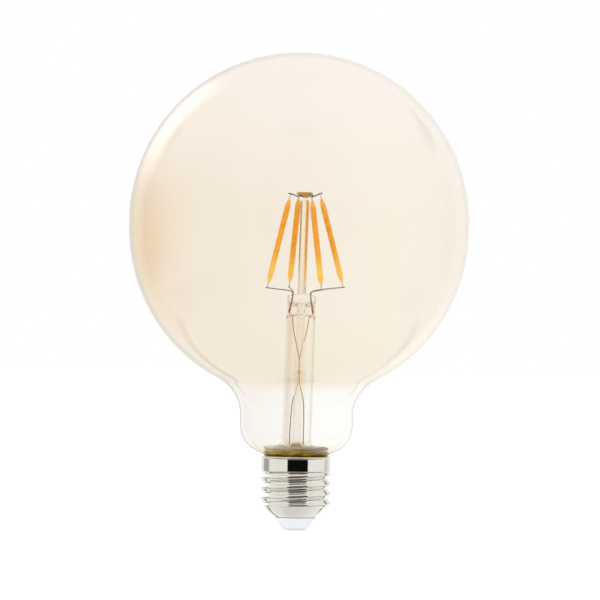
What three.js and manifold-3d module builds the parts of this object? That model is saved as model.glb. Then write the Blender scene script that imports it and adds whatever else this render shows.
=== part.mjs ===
// A globe-shaped LED filament lamp on an E27 screw cap, with a radio-controlled driver inside the cap.
//
// Millimetres and degrees. Z runs up the lamp's axis, and the centre contact's flat face lies at Z 0.
// Seen from the front, which is -Y, the lamp's left is -X.
// Heights whose names end in Z are measured from the contact's face. Each piece is one closed solid.

import * as THREE from "three";
import { mergeVertices } from "three/addons/utils/BufferGeometryUtils.js";
import Module from "manifold-3d";

const wasm = await Module();
wasm.setup();

// ---------------------------------------------------------------- driving dimensions

const seatGap = 0.3; // clearance between pieces that seat in, on or beside each other
const fineGap = 0.15; // clearance where a thin piece lies inside or against another

// Glass envelope
const globeDiameter = 125;
const globeBand = 2.3; // short straight band between the globe's upper and lower halves
const glassWall = 0.9;
const neckDiameter = 41.5;
const neckLength = 3.6; // straight part of the neck
const shoulderRadius = 14.6; // hollow curve between the globe and the neck
const bowlRadius = 10.5; // rounded bottom of the neck
const bowlSweep = 66; // how far that bottom turns inwards
const sealFillet = 1.6; // curve from the bottom into the ring that stands in the cap
const sealDepth = 3.6; // how deep that ring stands in the cap
const cementWall = 1; // adhesive between the ring and the cap
const closingBore = 4.2; // radius left open in the adhesive under the stem
const closingDepth = 3.2; // thickness of that adhesive
const beadHeight = 1.3; // from the cap's rim up to the glass, over the rim's edge

// Screw cap, E27
const capHeight = 27; // from the contact's face to the rim
const threadDiameter = 26.1;
const threadDepth = 1.05;
const threadPitch = 25.4 / 7;
const threadBottomZ = 8.6;
const threadRunOut = 1.5; // height over which the thread fades at each end
const threadStartZ = 19.1; // height of a crest on the lamp's left
const rimStep = 0.6; // how much narrower than the thread the plain band under the rim is
const rimBand = 5.1; // height of that band
const rimFlare = 0.25; // how far the rim's edge turns out
const rimFlareHeight = 0.7;
const shellWall = 0.3;
const lipDiameter = 15.4; // lower end of the shell, round the insulator
const lipZ = 4.9;
const contactDiameter = 8.8;
const contactThickness = 0.8;
const contactChamfer = 0.3;
const insulatorFootDiameter = 9.6;
const insulatorTopZ = 8.3;
const pinDiameter = 2.2;
const pinHeadDiameter = 3.6;
const pinHeadThickness = 0.5;

// Glass stem
const stemLean = 1.3; // the stem leans to the lamp's right by this angle, pivoting where it is sealed in
const flareDiameter = 10.8;
const flareWall = 1;
const skirtHeight = 4.2; // from the flare's rim up to its straight tube
const skirtInset = 1; // the flare's rim lies inside the cap's rim by this much
const skirtEdge = 0.8; // thickness of that rim
const pinchBottomZ = 78.9;
const pinchTopZ = 86.3;
const pinchFlatness = 0.4; // thickness of the pressed seal as a share of its width
const exhaustDiameter = 3;
const exhaustBore = 1.8;
const exhaustTipGap = 3.8; // between the tube's sealed tip and the driver's board
const blowHoleDiameter = 1.6;
const rodDiameter = 3.2;
const buttonDiameter = 5.5;
const buttonHeight = 2.2;
const buttonWireHeights = [0.65, 1.5]; // of the two top wires above the button's underside

// Wires
const supportWireDiameter = 0.5;
const leadWireDiameter = 0.4;
const leadSpacing = 6.4; // between the two leads in the pinch
const leadStandOut = 0.4; // of each lead above the pinch
const dumetLength = 5;
// How each outer lead winds round the exhaust tube to the other side: the turn from where it starts,
// the radius, and the drop below the pinch.
const leadWinding = [
  { turn: 38, radius: 2.8, drop: 7 },
  { turn: 90, radius: 2.4, drop: 14.7 },
  { turn: 112, radius: 2.4, drop: 26 },
  { turn: 165, radius: 2.4, drop: 34 },
  { turn: 180, radius: 2.5, drop: 41 },
];
const sleevingDiameter = 1.4; // insulating sleeving on each outer lead
const sleevingStandOut = 1.2; // of the sleeving above the flare's rim
const sleevingLength = 8.5;
const armRise = 1.9; // how far the lower arms climb from the lead to the filament
const topWireRise = 0.8; // how far the top wires bend up towards their tips
const wireOverhang = 1.1; // how far a support wire runs past the filament it holds
const weldShare = 0.85; // how far along a terminal its weld is

// Filaments
const filamentCount = 4;
const cageTurn = 23; // azimuth of the filament at the back right
const cageTopRadius = 6.4;
const cageBottomRadius = 14.6;
const cageLean = 2.05; // the cage's foot stands this angle to the lamp's right, turned about its top
const coatLength = 31.4;
const coatDiameter = 2;
const coatTaper = 0.6;
const stripWidth = 0.9;
const stripThickness = 0.35;
const terminalWidth = 0.6;
const terminalThickness = 0.25;
const terminalReach = 2.5; // of a terminal out of the coat
const terminalGrip = 1; // of a terminal inside the coat
const filamentLifts = [0.2, 0.35, 0, -0.75]; // small differences in height, filament by filament

// Driver in the cap
const sleeveClearance = 0.5; // between the sleeve and the thread's hollows
const sleeveWall = 0.7;
const sleeveTopGap = 2.9; // below the glass
const sleeveFootTaper = 1.5; // how far the sleeve draws in at its foot
const sleeveFootHeight = 1.9;
const boardDepth = 6; // from the sleeve's top down to the board's underside
const boardThickness = 1;
const ledgeWidth = 1.1; // the step in the sleeve that carries the board
const insulatedWireDiameter = 0.8;

// ---------------------------------------------------------------- derived sizes

const globeRadius = globeDiameter / 2;
const neckRadius = neckDiameter / 2;
const rimRadius = (threadDiameter - rimStep) / 2;
const rimInnerRadius = rimRadius - shellWall;
const beadRadius = rimRadius + rimFlare;
const sealRadius = rimInnerRadius - cementWall - seatGap;
const sealBottomZ = capHeight - sealDepth;
const bowlSine = Math.sin(THREE.MathUtils.degToRad(bowlSweep));
const bowlCosine = Math.cos(THREE.MathUtils.degToRad(bowlSweep));
const bowlR = neckRadius - bowlRadius;
const bowlEndR = bowlR + bowlRadius * bowlCosine;
const bowlEndZ = capHeight + beadHeight + ((bowlEndR - beadRadius) * bowlCosine) / bowlSine;
const bowlZ = bowlEndZ + bowlRadius * bowlSine;
const shoulderR = neckRadius + shoulderRadius;
const shoulderZ = bowlZ + neckLength;
const shoulderDrop = Math.sqrt((globeRadius + shoulderRadius) ** 2 - shoulderR ** 2);
const globeLowZ = shoulderZ + shoulderDrop;
const globeHighZ = globeLowZ + globeBand;
// Centre of the fillet that meets both the ring and the straight stretch under the bowl.
const sealFilletZ = bowlEndZ + ((sealRadius + sealFillet - bowlEndR) * bowlCosine - sealFillet) / bowlSine;
const threadTopZ = capHeight - rimBand;
const threadMeanRadius = (threadDiameter - threadDepth) / 2;
const skirtRadius = beadRadius - skirtInset;
const skirtSeatZ = bowlEndZ + ((skirtRadius - bowlEndR) * bowlCosine + glassWall + seatGap) / bowlSine;
const pivotZ = skirtSeatZ + skirtRadius * Math.sin(THREE.MathUtils.degToRad(stemLean));
const supportRadius = supportWireDiameter / 2;
const sleeveRadius = threadDiameter / 2 - threadDepth - shellWall - sleeveClearance;
const sleeveTopZ = sealBottomZ - sleeveTopGap;
const boardZ = sleeveTopZ - boardDepth;
const boardTopZ = boardZ + boardThickness;
const boardRadius = sleeveRadius - sleeveWall - seatGap;
const exhaustTipZ = boardTopZ + exhaustTipGap;

// The filaments stand on the lower arms, and the button sits where their upper terminals end.
const armCornerZ = pinchTopZ + leadStandOut + supportRadius + seatGap;
const filamentTilt = Math.asin((cageBottomRadius - cageTopRadius) / coatLength);
const weldReach = coatLength / 2 + weldShare * terminalReach;
const cageMiddleZ = armCornerZ + armRise + weldReach * Math.cos(filamentTilt);
const topWeldZ = cageMiddleZ + weldReach * Math.cos(filamentTilt);
const lowerWireZ = topWeldZ - topWireRise;
const buttonBottomZ = lowerWireZ - buttonWireHeights[0];
const rodTopZ = buttonBottomZ - seatGap;

// ---------------------------------------------------------------- shape helpers

const radians = THREE.MathUtils.degToRad;

// Points of an arc in the plane of a turned profile, as [radius, height] pairs.
function arc(centreR, centreZ, radius, fromDegrees, toDegrees, steps) {
  return Array.from({ length: steps + 1 }, (_, i) => {
    const angle = radians(fromDegrees + ((toDegrees - fromDegrees) * i) / steps);
    return [centreR + radius * Math.cos(angle), centreZ + radius * Math.sin(angle)];
  });
}

// Points of a soft bend from one profile point to another, pulled towards a corner.
function bend(from, corner, to, steps) {
  const [a, b, c] = [from, corner, to].map(([r, z]) => new THREE.Vector2(r, z));
  return new THREE.QuadraticBezierCurve(a, b, c).getPoints(steps).map((p) => [p.x, p.y]);
}

// A profile of [radius, height] pairs turned about Z. It runs anticlockwise round the material,
// and either closes on itself or starts and ends on the axis.
function turned(profile, segments) {
  const points = profile.map(([r, z]) => new THREE.Vector2(Math.max(r, 0), z));
  if (profile[0][0] > 0) points.push(points[0].clone());
  return new THREE.LatheGeometry(points, segments).rotateX(Math.PI / 2);
}

// A round wire through the given points.
function wire(points, diameter, steps, sides = 6) {
  const path = points.length > 2 ? new THREE.CatmullRomCurve3(points) : new THREE.LineCurve3(...points);
  const section = new THREE.Shape(
    Array.from({ length: sides }, (_, i) => {
      const angle = (2 * Math.PI * i) / sides;
      return new THREE.Vector2(Math.cos(angle), Math.sin(angle)).multiplyScalar(diameter / 2);
    }),
  );
  return new THREE.ExtrudeGeometry(section, { steps: points.length > 2 ? steps : 1, extrudePath: path });
}

// A cylinder standing along Z, centred on its middle.
function rod(diameter, length, sides) {
  return new THREE.CylinderGeometry(diameter / 2, diameter / 2, length, sides).rotateX(Math.PI / 2);
}

function box(x, y, z) {
  return new THREE.BoxGeometry(x, y, z);
}

function solidOf(geometry) {
  const source = geometry.index ? geometry.toNonIndexed() : geometry;
  const bare = new THREE.BufferGeometry().setAttribute("position", source.getAttribute("position"));
  const merged = mergeVertices(bare, 1e-4);
  return new wasm.Manifold(
    new wasm.Mesh({
      numProp: 3,
      vertProperties: merged.attributes.position.array,
      triVerts: new Uint32Array(merged.index.array),
    }),
  );
}

// The first geometry with the others cut out of it.
function cut(geometry, ...tools) {
  const solid = tools.reduce((left, tool) => left.subtract(solidOf(tool)), solidOf(geometry));
  const mesh = solid.getMesh();
  const result = new THREE.BufferGeometry();
  result.setAttribute("position", new THREE.BufferAttribute(Float32Array.from(mesh.vertProperties), 3));
  result.setIndex(new THREE.BufferAttribute(Uint32Array.from(mesh.triVerts), 1));
  result.computeVertexNormals();
  return result;
}

// Adds one named piece to a group.
function piece(group, name, geometry, finish, place = [0, 0, 0]) {
  const mesh = new THREE.Mesh(geometry, finish);
  mesh.name = name;
  mesh.position.set(...place);
  group.add(mesh);
  return mesh;
}

// A point at an azimuth and radius, as a vector.
function polar(azimuth, radius, z) {
  return new THREE.Vector3(radius * Math.cos(radians(azimuth)), radius * Math.sin(radians(azimuth)), z);
}

// ---------------------------------------------------------------- finishes

function finish(color, roughness, metalness = 0, opacity = 1) {
  return new THREE.MeshStandardMaterial({ color, roughness, metalness, opacity, transparent: opacity < 1 });
}

const finishes = {
  amberGlass: finish("#f2dcc0", 0.03, 0, 0.3),
  clearGlass: finish("#f4f1ea", 0.04, 0, 0.35),
  phosphor: finish("#f0a034", 0.55),
  ceramic: finish("#f2efe6", 0.6),
  nickelWire: finish("#8f8a80", 0.35, 1),
  dumet: finish("#a5604a", 0.4, 1),
  copper: finish("#b9835a", 0.35, 1),
  nickelPlate: finish("#d8d6d0", 0.12, 1),
  whitePlastic: finish("#eceef0", 0.35),
  cement: finish("#8a6d22", 0.3),
  liner: finish("#d9d4c4", 0.6),
  board: finish("#1f6b3c", 0.45),
  blackPlastic: finish("#1d1d1f", 0.4),
  capacitorSleeve: finish("#2a2f45", 0.35),
  ferrite: finish("#3a3a3d", 0.7),
  resistorCoat: finish("#6f9c6a", 0.5),
  tinPlate: finish("#c9cac9", 0.3, 1),
  redInsulation: finish("#b5372d", 0.5),
};

// ---------------------------------------------------------------- glass envelope

// The envelope's wall from the ring in the cap up to the crown, at a depth into the glass.
function envelopeLine(depth) {
  const joinAngle = THREE.MathUtils.radToDeg(Math.atan2(shoulderDrop, shoulderR));
  return [
    [sealRadius - depth, sealBottomZ],
    ...arc(sealRadius + sealFillet, sealFilletZ, sealFillet + depth, 180, 180 - bowlSweep, 2),
    ...arc(bowlR, bowlZ, bowlRadius - depth, -bowlSweep, 0, 4),
    ...arc(shoulderR, shoulderZ, shoulderRadius + depth, 180, 180 - joinAngle, 4),
    ...arc(0, globeLowZ, globeRadius - depth, -joinAngle, 0, 6).slice(1),
    ...arc(0, globeHighZ, globeRadius - depth, 0, 90, 7),
  ];
}

function addEnvelope(lamp) {
  const profile = [...envelopeLine(0), ...envelopeLine(glassWall).reverse()];
  piece(lamp, "globe", turned(profile, 32), finishes.amberGlass);
}

// ---------------------------------------------------------------- screw cap

// Moves each point of a turned shell in or out to roll the thread into it.
function rollThread(geometry) {
  const position = geometry.getAttribute("position");
  const { smoothstep } = THREE.MathUtils;
  for (let i = 0; i < position.count; i++) {
    const [x, y, z] = [position.getX(i), position.getY(i), position.getZ(i)];
    const turns = Math.atan2(y, x) / (2 * Math.PI);
    const phase = (z - threadStartZ) / threadPitch - turns + 0.5;
    const fade =
      smoothstep(z, threadBottomZ, threadBottomZ + threadRunOut) *
      (1 - smoothstep(z, threadTopZ - threadRunOut, threadTopZ));
    const swell = (threadDepth / 2) * fade * Math.cos(2 * Math.PI * phase);
    const scale = 1 + swell / Math.hypot(x, y);
    position.setXY(i, x * scale, y * scale);
  }
  return geometry;
}

// Outer surface of the shell before its thread is rolled, from the lip to the rim.
function shellLine() {
  const threadRows = Math.round(((threadTopZ - threadBottomZ) / threadPitch) * 5);
  const rows = Array.from({ length: threadRows + 1 }, (_, i) => [
    threadMeanRadius,
    THREE.MathUtils.lerp(threadBottomZ + 0.6, threadTopZ - 0.3, i / threadRows),
  ]);
  const funnelTop = [threadMeanRadius - 0.9, threadBottomZ];
  return [
    ...bend([lipDiameter / 2, lipZ], [lipDiameter / 2 + 2.2, lipZ + 1.4], funnelTop, 4),
    ...rows,
    [rimRadius, threadTopZ],
    [rimRadius, capHeight - rimFlareHeight],
    [beadRadius, capHeight],
  ];
}

// Radius of the shell's inner surface in the funnel below the thread.
function funnelInnerRadius(z) {
  const line = shellLine();
  const above = line.findIndex((point) => point[1] >= z);
  const [[r0, z0], [r1, z1]] = [line[above - 1], line[above]];
  return r0 + ((r1 - r0) * (z - z0)) / (z1 - z0) - shellWall;
}

function addShell(lamp) {
  const outer = shellLine();
  const inner = outer.map(([r, z]) => [r - shellWall, z]).reverse();
  piece(lamp, "screw_shell", rollThread(turned([...outer, ...inner], 28)), finishes.nickelPlate);
}

function addInsulatorAndContact(lamp) {
  const boreRadius = pinDiameter / 2 + seatGap;
  const throat = lipDiameter / 2 - shellWall - seatGap;
  const topRadius = funnelInnerRadius(insulatorTopZ) - seatGap;
  const profile = [
    [boreRadius, contactThickness],
    [insulatorFootDiameter / 2, contactThickness],
    [lipDiameter / 2 - seatGap, lipZ - seatGap],
    [throat, lipZ - seatGap],
    [throat, lipZ + 0.2],
    [funnelInnerRadius(lipZ + 1.4) - seatGap, lipZ + 1.6],
    [topRadius, insulatorTopZ],
    [boreRadius, insulatorTopZ],
  ];
  piece(lamp, "cap_insulator", turned(profile, 30), finishes.whitePlastic);

  const contact = [
    [0, 0],
    [contactDiameter / 2 - contactChamfer, 0],
    [contactDiameter / 2, contactChamfer],
    [contactDiameter / 2, contactThickness],
    [pinDiameter / 2, contactThickness],
    [pinDiameter / 2, insulatorTopZ],
    [pinHeadDiameter / 2, insulatorTopZ],
    [pinHeadDiameter / 2, insulatorTopZ + pinHeadThickness],
    [0, insulatorTopZ + pinHeadThickness],
  ];
  piece(lamp, "centre_contact", turned(contact, 24), finishes.tinPlate);
}

// The ring of adhesive between the glass and the shell, with the bead that shows above the rim.
function addCement(lamp) {
  const innerRadius = sealRadius + seatGap;
  const outerRadius = rimInnerRadius - seatGap;
  const filletR = sealRadius + sealFillet;
  const lift = seatGap / bowlSine;
  const profile = [
    [innerRadius, sealBottomZ - 0.4],
    [outerRadius, sealBottomZ - 0.4],
    [outerRadius, capHeight + fineGap],
    [beadRadius, capHeight + fineGap],
    [beadRadius, capHeight + beadHeight - lift],
    ...arc(filletR, sealFilletZ, sealFillet - seatGap, 180 - bowlSweep, 180, 3),
  ];
  piece(lamp, "basing_cement", turned(profile, 30), finishes.cement);

  // Inside the ring the same adhesive closes the cap below the stem and leaves the middle open for the leads.
  const closingRadius = sealRadius - glassWall - seatGap;
  const closingTopZ = pivotZ - closingRadius * Math.sin(radians(stemLean)) - seatGap;
  const closing = [
    [closingBore, closingTopZ - closingDepth],
    [closingRadius, closingTopZ - closingDepth],
    [closingRadius, closingTopZ - 0.5],
    [closingRadius - 0.8, closingTopZ],
    [closingBore + 0.8, closingTopZ],
    [closingBore, closingTopZ - 0.5],
  ];
  piece(lamp, "closing_cement", turned(closing, 24), finishes.cement);
}

// ---------------------------------------------------------------- glass stem

function addFlare(stem) {
  const outer = flareDiameter / 2;
  const inner = outer - flareWall;
  const tubeTopZ = pinchBottomZ - seatGap;
  const kneeZ = pivotZ + skirtHeight;
  const foot = [skirtRadius - skirtEdge, pivotZ];
  const profile = [
    foot,
    [skirtRadius, pivotZ],
    ...bend([skirtRadius, pivotZ + skirtEdge], [outer, pivotZ + skirtEdge * 1.6], [outer, kneeZ], 5),
    [outer, tubeTopZ],
    [inner, tubeTopZ],
    ...bend([inner, kneeZ], [inner, pivotZ + skirtEdge * 0.6], foot, 5).slice(0, -1),
  ];
  piece(stem, "stem_flare", turned(profile, 24), finishes.clearGlass);
}

// The pressed seal: round where it closes the flare, and flat where it grips the leads.
function addPinch(stem) {
  const radius = flareDiameter / 2 - 0.1;
  const height = pinchTopZ - pinchBottomZ;
  const rows = [0, 0.1, 0.22, 0.34, 0.46, 0.93];
  const profile = [
    [0, pinchBottomZ],
    ...rows.map((share) => [radius, pinchBottomZ + share * height]),
    [radius - 0.6, pinchTopZ],
    [0, pinchTopZ],
  ];
  const body = turned(profile, 24);
  const position = body.getAttribute("position");
  for (let i = 0; i < position.count; i++) {
    const share = (position.getZ(i) - pinchBottomZ) / height;
    const squeeze = THREE.MathUtils.smoothstep(share, 0.08, 0.46);
    position.setY(i, position.getY(i) * THREE.MathUtils.lerp(1, pinchFlatness, squeeze));
  }
  const leadHoles = [-1, 1].map((side) =>
    rod(supportWireDiameter + 2 * seatGap, height * 3, 8).translate((side * leadSpacing) / 2, 0, pinchTopZ),
  );
  const channelHeight = 0.52 * height;
  const channel = rod(exhaustBore, channelHeight * 2, 10).translate(0, 0, pinchBottomZ);
  const blowHole = rod(blowHoleDiameter, flareDiameter, 10)
    .rotateX(Math.PI / 2)
    .translate(0, flareDiameter / 2, pinchBottomZ + channelHeight - blowHoleDiameter / 2);
  piece(stem, "stem_pinch", cut(body, ...leadHoles, channel, blowHole), finishes.clearGlass);
}

function addExhaustTube(stem) {
  const outer = exhaustDiameter / 2;
  const topZ = pinchBottomZ - seatGap;
  const profile = [
    [0, exhaustTipZ],
    [outer * 0.45, exhaustTipZ + 0.5],
    [outer, exhaustTipZ + 2.6],
    [outer, topZ],
    [exhaustBore / 2, topZ],
    [exhaustBore / 2, exhaustTipZ + 3.4],
    [0, exhaustTipZ + 2.8],
  ];
  piece(stem, "exhaust_tube", turned(profile, 16), finishes.clearGlass);
}

function addRodAndButton(stem) {
  const bottomZ = pinchTopZ + seatGap;
  const length = rodTopZ - bottomZ;
  const middle = [0, 0, bottomZ + length / 2];
  piece(stem, "support_rod", rod(rodDiameter, length, 16), finishes.clearGlass, middle);

  const radius = buttonDiameter / 2;
  const edge = 0.45;
  const profile = [
    [0, buttonBottomZ],
    [radius - edge, buttonBottomZ],
    [radius, buttonBottomZ + edge],
    [radius, buttonBottomZ + buttonHeight - edge],
    [radius - edge, buttonBottomZ + buttonHeight],
    [0, buttonBottomZ + buttonHeight],
  ];
  const channels = topWireLevels().map((level) =>
    rod(supportWireDiameter + 2 * fineGap, buttonDiameter * 1.5, 8)
      .rotateY(Math.PI / 2)
      .rotateZ(radians(level.azimuth))
      .translate(0, 0, level.z),
  );
  piece(stem, "rod_button", cut(turned(profile, 20), ...channels), finishes.clearGlass);
}

// ---------------------------------------------------------------- filaments

// Azimuth of each filament about the rod: back right, back left, front left and front right.
function filamentAzimuth(index) {
  return cageTurn + (360 / filamentCount) * index;
}

// The cage of filaments turned about its top, so that its foot stands to one side.
function cageTurned() {
  return new THREE.Matrix4()
    .makeTranslation(0, 0, topWeldZ)
    .multiply(new THREE.Matrix4().makeRotationY(-radians(cageLean)))
    .multiply(new THREE.Matrix4().makeTranslation(0, 0, -topWeldZ));
}

// Where a filament's coat and terminals end, in the plane of its azimuth.
function filamentEnd(index, side, past = 0) {
  const along = coatLength / 2 + past;
  return {
    radius: (cageTopRadius + cageBottomRadius) / 2 - side * along * Math.sin(filamentTilt),
    z: cageMiddleZ + filamentLifts[index] + side * along * Math.cos(filamentTilt),
  };
}

// One filament: a strip that carries the chips, a terminal at each end, and the phosphor coat round them.
function addFilament(stem, index) {
  const name = `filament_${index + 1}`;
  const turn = new THREE.Group();
  turn.rotation.z = radians(filamentAzimuth(index));
  stem.add(turn);
  const filament = new THREE.Group();
  filament.position.set((cageTopRadius + cageBottomRadius) / 2, 0, cageMiddleZ + filamentLifts[index]);
  filament.rotation.y = -filamentTilt;
  turn.add(filament);

  const radius = coatDiameter / 2;
  const halfCoat = coatLength / 2;
  const profile = [
    [0, -halfCoat],
    [radius * 0.86, -halfCoat],
    [radius, -halfCoat + coatTaper],
    [radius, halfCoat - coatTaper],
    [radius * 0.86, halfCoat],
    [0, halfCoat],
  ];
  const slot = box(stripThickness + 2 * fineGap, stripWidth + 2 * fineGap, coatLength * 1.2);
  piece(filament, `${name}_coat`, cut(turned(profile, 10), slot), finishes.phosphor);

  const stripLength = coatLength - 2 * (terminalGrip + seatGap);
  piece(filament, `${name}_strip`, box(stripThickness, stripWidth, stripLength), finishes.ceramic);

  const terminalLength = terminalGrip + terminalReach;
  for (const [end, side] of [["top", 1], ["bottom", -1]]) {
    const middle = side * (halfCoat - terminalGrip + terminalLength / 2);
    const shape = box(terminalThickness, terminalWidth, terminalLength);
    piece(filament, `${name}_${end}_terminal`, shape, finishes.tinPlate, [0, 0, middle]);
  }
}

// ---------------------------------------------------------------- wires of the stem

// A support wire passes beside the terminal that is welded to it. This is the azimuth between the two.
function weldTurn(radius) {
  const aside = terminalWidth / 2 + supportRadius + seatGap;
  return THREE.MathUtils.radToDeg(Math.asin(aside / radius));
}

// The two wires in the button, each joining the tops of two opposite filaments.
function topWireLevels() {
  const turn = weldTurn(filamentEnd(0, 1, terminalReach).radius);
  return ["top_wire_across", "top_wire_through"].map((name, i) => ({
    name,
    azimuth: filamentAzimuth(i) + turn,
    z: buttonBottomZ + buttonWireHeights[i],
  }));
}

function addTopWires(stem) {
  const tip = filamentEnd(0, 1, terminalReach).radius + wireOverhang;
  const shoulder = buttonDiameter / 2 + 0.2;
  for (const { name, azimuth, z } of topWireLevels()) {
    const rise = topWeldZ - z;
    const half = [shoulder / 2, shoulder, tip * 0.7, tip];
    const reaches = [...half.map((r) => -r).reverse(), ...half];
    const points = reaches.map((r) => {
      const share = Math.max(Math.abs(r) - shoulder, 0) / (tip - shoulder);
      return polar(azimuth, r, z + rise * share);
    });
    piece(stem, name, wire(points, supportWireDiameter, 16), finishes.nickelWire);
  }
}

// Each side has a lead in three pieces and an arm that carries two filaments.
// The left side holds the filaments at the back left and front left, the right side the other two.
function addSide(stem, name, side, backIndex, frontIndex) {
  const x = (side * leadSpacing) / 2;
  const innerTopZ = pinchTopZ + leadStandOut;
  const dumetTopZ = pinchTopZ - 1.2;
  const dumetBottomZ = dumetTopZ - dumetLength;
  const upright = (bottomZ, topZ, diameter) =>
    wire([new THREE.Vector3(x, 0, bottomZ), new THREE.Vector3(x, 0, topZ)], diameter);
  const innerLead = upright(dumetTopZ + seatGap, innerTopZ, supportWireDiameter);
  const dumetSeal = upright(dumetBottomZ, dumetTopZ, leadWireDiameter);
  piece(stem, `inner_lead_${name}`, innerLead, finishes.nickelWire);
  piece(stem, `dumet_seal_${name}`, dumetSeal, finishes.dumet);

  const tipOf = (index) => {
    const { radius, z } = filamentEnd(index, -1, terminalReach * weldShare);
    const tip = polar(filamentAzimuth(index) + weldTurn(radius), radius + wireOverhang * 0.6, z);
    return tip.applyMatrix4(cageTurned());
  };
  const corner = new THREE.Vector3(x, 0, armCornerZ);
  const ends = [tipOf(backIndex), tipOf(frontIndex)];
  const [nearBack, nearFront] = ends.map((end) => {
    const point = corner.clone().lerp(end, 0.3);
    point.z = armCornerZ + (end.z - armCornerZ) * 0.55;
    return point;
  });
  const armPoints = [ends[0], nearBack, corner, nearFront, ends[1]];
  piece(stem, `lower_arm_${name}`, wire(armPoints, supportWireDiameter, 20), finishes.nickelWire);

  const startAzimuth = side < 0 ? 180 : 0;
  const winding = leadWinding.map(({ turn, radius, drop }) =>
    polar(startAzimuth + turn, radius, pinchBottomZ - drop),
  );
  const foot = winding.at(-1);
  const leadPoints = [
    new THREE.Vector3(x, 0, dumetBottomZ - seatGap),
    ...winding,
    new THREE.Vector3(foot.x, foot.y, pivotZ),
    new THREE.Vector3(foot.x, foot.y, boardTopZ + seatGap),
  ];
  piece(stem, `outer_lead_${name}`, wire(leadPoints, leadWireDiameter, 34), finishes.copper);

  const sleevingTopZ = pivotZ + sleevingStandOut;
  const sleevingBore = leadWireDiameter + 2 * fineGap;
  const sleeving = [
    [sleevingBore / 2, sleevingTopZ - sleevingLength],
    [sleevingDiameter / 2, sleevingTopZ - sleevingLength],
    [sleevingDiameter / 2, sleevingTopZ],
    [sleevingBore / 2, sleevingTopZ],
  ];
  piece(stem, `lead_sleeving_${name}`, turned(sleeving, 12), finishes.whitePlastic, [foot.x, foot.y, 0]);
}

function addStem(lamp) {
  const lean = new THREE.Group();
  lean.position.z = pivotZ;
  lean.rotation.y = radians(stemLean);
  const stem = new THREE.Group();
  stem.position.z = -pivotZ;
  lean.add(stem);
  lamp.add(lean);

  addFlare(stem);
  addPinch(stem);
  addExhaustTube(stem);
  addRodAndButton(stem);
  addTopWires(stem);
  addSide(stem, "left", -1, 1, 2);
  addSide(stem, "right", 1, 0, 3);
  const cage = new THREE.Group();
  cage.applyMatrix4(cageTurned());
  stem.add(cage);
  for (let i = 0; i < filamentCount; i++) addFilament(cage, i);
}

// ---------------------------------------------------------------- driver

// The insulating cup that lines the shell, stands on the insulator and carries the board on a ledge.
function addSleeve(lamp) {
  const outer = sleeveRadius;
  const foot = sleeveRadius - sleeveFootTaper;
  const kneeZ = insulatorTopZ + sleeveFootHeight;
  const ledge = outer - sleeveWall - ledgeWidth;
  const profile = [
    [foot - sleeveWall, insulatorTopZ],
    [foot, insulatorTopZ],
    [outer, kneeZ],
    [outer, sleeveTopZ],
    [outer - sleeveWall, sleeveTopZ],
    [outer - sleeveWall, boardZ],
    [ledge, boardZ],
    [ledge, kneeZ + 0.5],
  ];
  piece(lamp, "driver_sleeve", turned(profile, 24), finishes.liner);
}

// A component stands on the board or hangs under it: its middle lies half its height away.
function addComponent(lamp, name, geometry, finish, [x, y], height, side) {
  const faceZ = side > 0 ? boardTopZ : boardZ;
  return piece(lamp, name, geometry, finish, [x, y, faceZ + (side * height) / 2]);
}

function addUnderBoard(lamp) {
  const capacitor = { diameter: 5.2, length: 9.5, place: [-0.7, 4.6] };
  const can = rod(capacitor.diameter, capacitor.length, 14).rotateY(Math.PI / 2);
  const { capacitorSleeve, ferrite, copper, blackPlastic, resistorCoat } = finishes;
  addComponent(lamp, "smoothing_capacitor", can, capacitorSleeve, capacitor.place, capacitor.diameter, -1);

  const choke = { flange: 2.9, waist: 1.4, flangeHeight: 0.9, height: 5, place: [-3.7, -4.2] };
  const half = choke.height / 2;
  const throat = half - choke.flangeHeight;
  const core = [
    [0, -half],
    [choke.flange, -half],
    [choke.flange, -throat],
    [choke.waist, -throat],
    [choke.waist, throat],
    [choke.flange, throat],
    [choke.flange, half],
    [0, half],
  ];
  addComponent(lamp, "choke_core", turned(core, 16), ferrite, choke.place, choke.height, -1);
  const winding = [
    [choke.waist + seatGap, -throat + seatGap],
    [choke.flange - seatGap, -throat + seatGap],
    [choke.flange - seatGap, throat - seatGap],
    [choke.waist + seatGap, throat - seatGap],
  ];
  addComponent(lamp, "choke_winding", turned(winding, 16), copper, choke.place, choke.height, -1);

  const rectifier = { size: [4.6, 3.8, 1.5], place: [2.3, -5.5] };
  const moulding = box(...rectifier.size);
  addComponent(lamp, "bridge_rectifier", moulding, blackPlastic, rectifier.place, rectifier.size[2], -1);

  const resistor = { diameter: 2.4, length: 6.2, place: [6.3, -1.2] };
  const barrel = rod(resistor.diameter, resistor.length, 12).rotateX(Math.PI / 2);
  addComponent(lamp, "fusible_resistor", barrel, resistorCoat, resistor.place, resistor.diameter, -1);
}

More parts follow.
